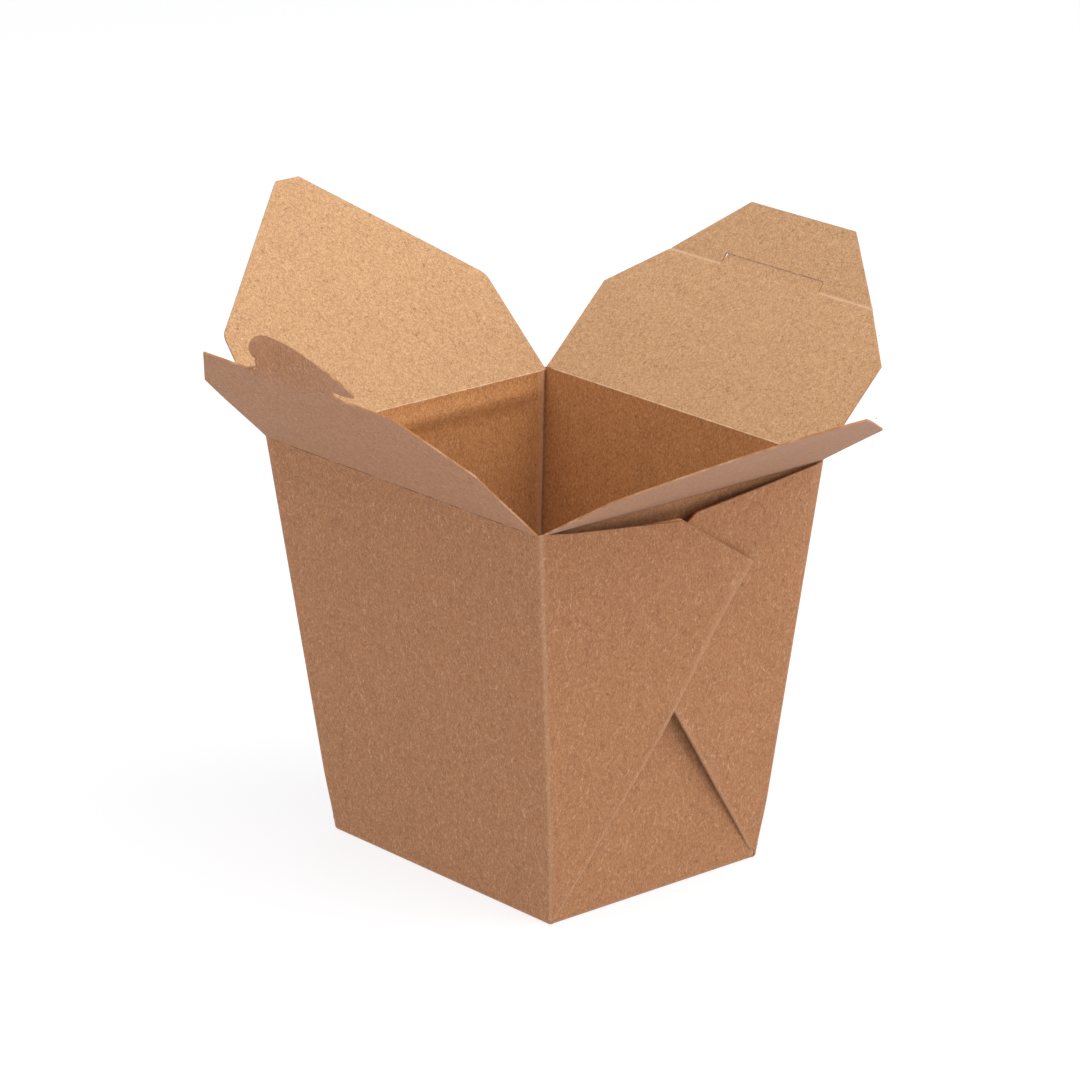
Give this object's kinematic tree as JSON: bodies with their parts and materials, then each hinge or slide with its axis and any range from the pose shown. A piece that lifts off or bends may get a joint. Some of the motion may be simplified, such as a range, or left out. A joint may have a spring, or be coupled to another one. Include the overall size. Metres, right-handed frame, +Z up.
{
  "type": "noodle takeaway box",
  "caption": "Tapered kraft board food carton with webs folded onto its end panels and an open top of hinged flaps: a lock flap with a curled tab, a slot flap and two pointed side flaps.",
  "frame": {"origin": "centre of the underside of the base, on the surface the box stands on", "axes": "+Z up; the gusset panels with the folded webs face +X and -X; the lock flap is at -Y and the slot flap at +Y"},
  "size_m": [0.2057, 0.1642, 0.151],
  "materials": {
    "kraft_body": "uncoated brown kraft board, matt, fine fibre specks",
    "kraft_lock_flap": "uncoated brown kraft board, matt, outside face showing",
    "kraft_slot_flap": "uncoated light kraft board, matt, inside face showing",
    "kraft_front_side_flap": "uncoated brown kraft board, matt",
    "kraft_rear_side_flap": "uncoated light kraft board, matt, inside face showing"
  },
  "bodies": {
    "box": {"box_body": "kraft_body"},
    "lock_flap": {"lock_flap": "kraft_lock_flap"},
    "slot_flap": {"slot_flap": "kraft_slot_flap"},
    "front_side_flap": {"front_side_flap": "kraft_front_side_flap"},
    "rear_side_flap": {"rear_side_flap": "kraft_rear_side_flap"}
  },
  "joints": [
    {"name": "lock_flap_crease", "type": "hinge", "parent": "box", "child": "lock_flap", "pos_m": [0, -0.04495, 0.1032], "axis": [-1, 0, 0], "range_deg": [-130, 118]},
    {"name": "slot_flap_crease", "type": "hinge", "parent": "box", "child": "slot_flap", "pos_m": [0, 0.04495, 0.1032], "axis": [1, 0, 0], "range_deg": [-129, 134]},
    {"name": "front_side_flap_crease", "type": "hinge", "parent": "box", "child": "front_side_flap", "pos_m": [0.0506, 0, 0.1026], "axis": [0, -1, 0], "range_deg": [-54, 155.5]},
    {"name": "rear_side_flap_crease", "type": "hinge", "parent": "box", "child": "rear_side_flap", "pos_m": [-0.0506, 0, 0.1026], "axis": [0, 1, 0], "range_deg": [-71, 135.5]}
  ]
}
